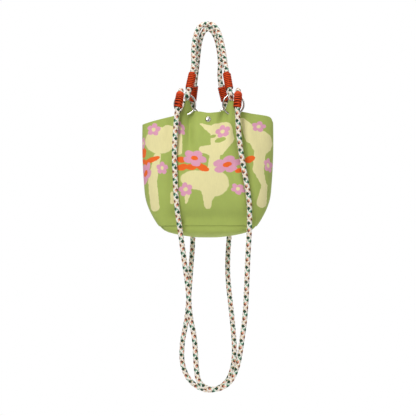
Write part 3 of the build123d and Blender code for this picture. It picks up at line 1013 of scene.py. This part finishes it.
def metal_material(name, colour, rough):
    """Polished plated metal with light scuffs."""
    material, nodes, shader = new_material(name)
    place = nodes.add("ShaderNodeTexCoord").outputs["Object"]
    scuffs = nodes.fibres(place, (900.0, 900.0, 300.0), 4.0, 0.65)
    haze = nodes.ramp(nodes.noise(place, 160.0, 3.0), 0.35, 0.7)
    nodes.fill(shader, {"Base Color": nodes.mix(haze, colour, tinted(colour, 0.86)), "Metallic": 1.0,
                        "Normal": nodes.bump(scuffs, 0.12, 0.0001),
                        "Roughness": nodes.ramp(scuffs, 0.3, 0.75, rough, rough + 0.14)})
    return material


# ---- bag pieces

def make_panel(face, material):
    """Front or rear panel of the bag, rim, peaks and all, down to the base seam."""
    shares = column_shares(face)
    rows = np.array([[tuple(panel_point(share, row / PANEL_ROWS, face)) for share in shares]
                     for row in range(PANEL_ROWS + 1)])
    mesh = Builder()
    mesh.grid(rows, uv=lambda r, c: print_uv(rows[r][c]), flip=face > 0)
    piece = mesh.make(f"{FACE_NAMES[face]}_panel_cloth", [material])
    thicken(piece, CLOTH)
    return piece


def loop_at(z, inset=0.0, scale=1.0, low=None):
    """Closed loop round the whole bag at a height, which may be scaled inward and laid at a lower height."""
    points = []
    for face in FACE_NAMES:
        for number in range(BASE_LOOP):
            share = -1 + 2 * number / BASE_LOOP
            point = section_point(share if face < 0 else -share, z, face, inset)
            height = z if low is None else low
            points.append((MIDDLE_X + (point.x - MIDDLE_X) * scale, point.y * scale, height))
    return points


def make_base(material):
    """Boxed base, from the base seam round under the bag."""
    heights = [-0.3285, -0.331, -0.334, -0.337, -0.340, -0.3425, -0.3447, -0.3465, -0.3478, BOTTOM_EDGE_Z]
    rows = [loop_at(z) for z in heights]
    for scale in (0.8, 0.6, 0.4, 0.2, 0.05):
        low = BOTTOM_EDGE_Z - BOTTOM_SAG * math.sqrt(1 - scale**2)
        rows.append(loop_at(BOTTOM_EDGE_Z, 0.0, scale, low))
    mesh = Builder()
    points = np.array(rows)

    def uv_of(r, c):
        point = points[r % len(rows)][c % points.shape[1]]
        fold = max(0.0, 1 - abs(point[1]) / 0.05) * 0.05
        return (-point[0] if point[1] > 0 else point[0], point[2] - fold)

    mesh.grid(points, closed_across=True, uv=uv_of)
    mesh.fan(points[-1], points[-1].mean(axis=0), uv=(0.0, -0.4))
    piece = mesh.make("base_panel_cloth", [material])
    weld(piece)
    thicken(piece, CLOTH)
    return piece


def weld(piece):
    """Joins vertices that share a place, and turns the faces outward."""
    bench = bmesh.new()
    bench.from_mesh(piece.data)
    bmesh.ops.remove_doubles(bench, verts=bench.verts, dist=1e-6)
    bmesh.ops.recalc_face_normals(bench, faces=bench.faces)
    bench.to_mesh(piece.data)
    bench.free()


def make_lining(material):
    """Lining bag inside the outer cloth, open at the top."""
    inset = CLOTH + LINING_GAP
    heights = np.concatenate([np.linspace(LINING_TOP_Z, -0.325, 60), np.linspace(-0.328, LINING_FOOT_Z, 10)])
    rows = [loop_at(z, inset) for z in heights]
    rows += [loop_at(LINING_FOOT_Z, inset, scale, LINING_FOOT_Z - 0.0002)
             for scale in (0.75, 0.5, 0.25, 0.05)]
    points = np.array(rows)
    mesh = Builder()
    mesh.grid(points, closed_across=True,
              uv=lambda r, c: (points[r % len(rows)][c % points.shape[1]][0], points[r % len(rows)][0][2]))
    mesh.fan(points[-1], points[-1].mean(axis=0))
    piece = mesh.make("lining_cloth", [material])
    weld(piece)
    thicken(piece, LINING_CLOTH)
    return piece


def torus(mesh, centre, axis, radius, thick, around=96, sides=20):
    """A round ring of wire about an axis."""
    axis = Vector(axis).normalized()
    first = axis.orthogonal().normalized()
    outs = circle((0, 0, 0), first, axis.cross(first), 1.0, around)
    rows = [circle(np.array(centre) + out * radius, out, axis, thick, sides) for out in outs]
    mesh.grid(rows, closed_across=True, closed_along=True)


def make_ring(side, face, material):
    """Polished wire ring."""
    mesh = Builder()
    torus(mesh, RING_CENTRES[side, face], (0, 1, 0), RING_RADIUS, RING_WIRE)
    return mesh.make(piece_name(side, face, "ring_wire"), [material])


def make_eyelet(side, face, material):
    """Thread-bound hole: close radial stitches round the ring's wire at the foot of its arc."""
    node = piece_name(side, face, "eyelet")
    centre = np.array(middle_of(node))
    twist = math.radians(PEAK_TWIST * side * face)
    axis = np.array((math.sin(twist), -math.cos(twist), 0))
    across = (math.cos(twist), math.sin(twist), 0)
    turns = (np.arange(13) * 2 * math.pi / 12)[:, None]
    mesh = Builder()
    for out in circle((0, 0, 0), across, (0, 0, 1), 1.0, EYELET_STITCHES):
        middle = centre + out * EYELET_RADIUS
        line = middle + 0.0013 * np.cos(turns) * out + 0.0014 * np.sin(turns) * axis
        mesh.cord(line, EYELET_THREAD, 6)
    torus(mesh, centre, axis, EYELET_RADIUS, 0.0009, 48, 10)
    return mesh.make(node + "_binding", [material])


def stitch_line(mesh, line, out):
    """Separate stitches along a line of points, standing a little out of the cloth."""
    along = distances(line)
    pitch = STITCH_LENGTH + STITCH_GAP
    for number in range(int(along[-1] / pitch)):
        places = number * pitch + np.linspace(0, STITCH_LENGTH, len(STITCH_LIFTS))
        lift = np.array(STITCH_LIFTS)[:, None]
        mesh.cord(read_at(places, along, line) + read_at(places, along, out) * lift, STITCH_RADIUS, 6)


def panel_normal(share, down, face):
    """Outward direction of a panel at a place."""
    small = 0.002
    here = panel_point(share, down, face)
    beside = panel_point(min(share + small, 0.999), down, face)
    below = panel_point(share, min(down + small, 1.0), face)
    normal = (beside - here).cross(below - here)
    if normal.length < 1e-12:
        return Vector((0, face, 0))
    normal.normalize()
    return normal if normal.y * face > 0 else -normal


def make_topstitching(face, material):
    """Line of stitches below the rim and above the base seam."""
    mesh = Builder()
    for down, reach in STITCH_ROWS:
        shares = np.linspace(-reach, reach, 420)
        points = np.array([tuple(panel_point(share, down, face)) for share in shares])
        stitch_line(mesh, points, np.array([tuple(panel_normal(share, down, face)) for share in shares]))
    return mesh.make(f"{FACE_NAMES[face]}_topstitching", [material])


def make_side_seam(side, material):
    """Raised edge where the two panels are sewn together at one side."""
    line = []
    for down in np.linspace(0, 1, 101):
        front, rear = panel_point(side, down, -1), panel_point(side, down, 1)
        middle = (front + rear) / 2
        line.append((middle.x - side * 0.0002, middle.y, max(min(middle.z, front.z), BASE_SEAM_Z)))
    line = np.array(line)
    away = np.zeros_like(line)
    away[:, 0] = side
    mesh = Builder()
    across = np.cross(frames_along(line)[0], away)
    mesh.tube(line, across, away, SEAM_RADIUS * 1.3, SEAM_RADIUS, 10, u_scale=0.004)
    return mesh.make(f"{SIDE_NAMES[side]}_side_seam_edge", [material])


def make_base_seam(material):
    """Raised sewn edge round the bag where the panels meet the base."""
    line = np.array(loop_at(BASE_SEAM_Z, -0.0001))
    away = unit(line - np.array([MIDDLE_X, 0.0, BASE_SEAM_Z]))
    angles = (np.arange(8) * math.pi / 4)[:, None]
    up = np.array([0.0, 0.0, 0.0011])
    rows = [point + 0.00035 * np.cos(angles) * out + np.sin(angles) * up for point, out in zip(line, away)]
    mesh = Builder()
    mesh.grid(rows, closed_across=True, closed_along=True, uv=lambda r, c: (r * 0.004, c * 0.001))
    return mesh.make("base_seam_edge", [material])


def surface_seam(name, share, low_z, high_z, face, lean, material):
    """Thin sewn line standing out of the cloth, between two heights at a share across."""
    line = np.array([tuple(section_point(share, z, face, -0.0003)) for z in np.linspace(high_z, low_z, 24)])
    line[:, 0] += np.linspace(0.0, lean, 24)
    mesh = Builder()
    mesh.cord(line, 0.0007, 8)
    return mesh.make(name, [material])


def make_snap_cap(face, material):
    """Domed cap with a rolled lip, turned about the CAD cap's axis."""
    low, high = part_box(f"snap_{FACE_NAMES[face]}_cap")
    outer = Vector(((low.x + high.x) / 2, low.y if face < 0 else high.y, (low.z + high.z) / 2))
    axis = Vector((0, face * math.cos(SNAP_TILT), math.sin(SNAP_TILT)))
    first = Vector((1, 0, 0))
    profile = [(0.30, -0.5), (0.30, 0.0), (0.90, 0.0), (0.985, 0.06), (1.0, 0.16), (0.985, 0.26),
               (0.94, 0.33)]
    profile += [(0.93 * math.cos(angle), 0.33 + 0.67 * math.sin(angle))
                for angle in np.linspace(0.06, math.pi / 2 - 0.02, 14)]
    rows = [circle(outer + axis * ((up - 1) * SNAP_CAP_HEIGHT), first, axis.cross(first),
                   across * SNAP_CAP_RADIUS, 48) for across, up in profile]
    mesh = Builder()
    mesh.grid(rows, closed_across=True)
    mesh.close_ends(rows)
    return mesh.make(f"snap_{FACE_NAMES[face]}_dome", [material])


# ---- stage

FLOOR_Z = -1.0
FLOOR_RADIUS = 1.9
FLOOR_GLOW = 0.2
STUDIO_LIGHT = 0.27

def make_stage():
    """Round white floor well below the bag, out of the front view."""
    material, nodes, shader = new_material("stage_white")
    grain = nodes.noise(nodes.add("ShaderNodeTexCoord").outputs["Object"], 3.0)
    nodes.fill(shader, {"Base Color": nodes.mix(grain, (0.9, 0.9, 0.9, 1), (0.94, 0.94, 0.94, 1)),
                        "Roughness": 0.9, "Emission Color": (1, 1, 1, 1), "Emission Strength": FLOOR_GLOW})
    centre = (0, 0, FLOOR_Z)
    rows = [circle(centre, (1, 0, 0), (0, 1, 0), radius, 96)
            for radius in np.linspace(0.1, FLOOR_RADIUS, 12)]
    mesh = Builder()
    mesh.grid(rows, closed_across=True)
    mesh.fan(rows[0], centre)
    mesh.make("stage_floor", [material])


def make_light(name, place, target, size, power):
    """A soft square light aimed at a point."""
    data = bpy.data.lights.new(name, "AREA")
    data.shape = "SQUARE"
    data.size = size
    data.energy = power
    light = bpy.data.objects.new(name, data)
    light.location = place
    aim = Vector(target) - Vector(place)
    light.rotation_euler = aim.to_track_quat("-Z", "Y").to_euler()
    bpy.context.scene.collection.objects.link(light)


def make_lighting():
    """Soft studio light, stronger from the upper left in front."""
    world = bpy.data.worlds.new("studio")
    world.use_nodes = True
    nodes = Nodes(world.node_tree)
    seen = nodes.add("ShaderNodeLightPath").outputs["Is Camera Ray"]
    strength = nodes.math("MULTIPLY_ADD", seen, 1.0 - STUDIO_LIGHT, STUDIO_LIGHT)
    nodes.fill(world.node_tree.nodes["Background"], {0: (1.0, 1.0, 1.0, 1.0), 1: strength})
    bpy.context.scene.world = world
    make_light("key", (-0.9, -1.8, 1.3), (0, 0, -0.25), 1.0, 44.0)
    make_light("fill", (1.6, -1.6, 0.5), (0, 0, -0.3), 1.4, 9.0)
    make_light("top", (0.1, 0.0, 1.6), (0, 0, -0.2), 1.2, 16.0)
    make_light("back", (0.9, 1.8, 0.9), (0, 0, -0.25), 1.4, 30.0)
    settings = bpy.context.scene.view_settings
    settings.view_transform = "Standard"
    settings.look = "None"


# ---- build

def put_in_place(piece, body, replaced=None):
    """Gives a piece its body and, if there is one, hides the CAD node that it replaces."""
    if replaced:
        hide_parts(replaced)
    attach(piece, body)
    return piece


make_camera()

strands = rope_materials()
wrap = whipping_material()

for side, face in CORNERS:
    face_name = FACE_NAMES[face]
    put_in_place(handle_whipping(side, face, wrap), f"{face_name}_handle",
                 piece_name(side, face, "handle_whipping"))
    put_in_place(strap_whipping(side, face, wrap),
                                         f"{face_name}_strap", piece_name(side, face, "strap_whipping"))

for face, middle, phase in ((-1, FRONT_STRAP_ROUTE, 0.3), (1, REAR_STRAP_ROUTE, 1.1)):
    name = f"{FACE_NAMES[face]}_strap"
    line, places = line_of(whole_route(strap_eye, middle, face))
    strap = braided_rope(f"{name}_braid", line, places, strands, phase, STRAP_BRAID_LEAD)
    put_in_place(strap, name, f"{name}_rope")

for face, middle, phase in ((-1, FRONT_HANDLE_ROUTE, 0.0), (1, REAR_HANDLE_ROUTE, 0.7)):
    name = f"{FACE_NAMES[face]}_handle"
    line, places = line_of(whole_route(handle_eye, middle, face))
    handle = braided_rope(f"{name}_braid", line, places, strands, phase, HANDLE_BRAID_LEAD)
    put_in_place(handle, name, f"{name}_rope")

cloth = printed_cloth()
plain_green = plain_cloth("plain_green_cloth", GREEN)
lining_cotton = plain_cloth("lining_cotton", linear(214, 208, 176))
green_thread = thread_material("green_thread", linear(150, 166, 84))
dark_thread = thread_material("dark_green_thread", linear(84, 96, 44))
nickel = metal_material("nickel", linear(214, 212, 208), 0.14)
pewter = metal_material("snap_nickel", linear(196, 192, 188), 0.2)

for face, face_name in FACE_NAMES.items():
    panel = put_in_place(make_panel(face, cloth), "bag", f"{face_name}_panel")
    stitches = put_in_place(make_topstitching(face, green_thread), "bag")
    put_in_place(make_snap_cap(face, pewter), "bag", f"snap_{face_name}_cap")
    for side in SIDE_NAMES:
        ring = piece_name(side, face, "ring")
        put_in_place(make_ring(side, face, nickel), ring, ring)
        put_in_place(make_eyelet(side, face, green_thread), "bag",
                     piece_name(side, face, "eyelet"))

base = put_in_place(make_base(cloth), "bag", "base_panel")
lining = put_in_place(make_lining(lining_cotton), "bag", "lining")

for side, side_name in SIDE_NAMES.items():
    put_in_place(make_side_seam(side, plain_green), "bag", f"{side_name}_side_seam")
put_in_place(make_base_seam(plain_green), "bag", "base_seam")

for side, face in CORNERS:
    tuck = piece_name(side, face, "corner_tuck")
    welt = piece_name(side, face, "side_welt")
    put_in_place(surface_seam(tuck, side * 0.76, -0.3375, -0.3245, face, -side * 0.002, dark_thread),
                 "bag")
    put_in_place(surface_seam(welt, side * 0.85, -0.30, -0.165, face, 0.0, green_thread),
                 "bag")

for name in ("snap_socket", "snap_stud"):
    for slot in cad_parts[name].material_slots:
        slot.material = pewter

make_stage()
make_lighting()
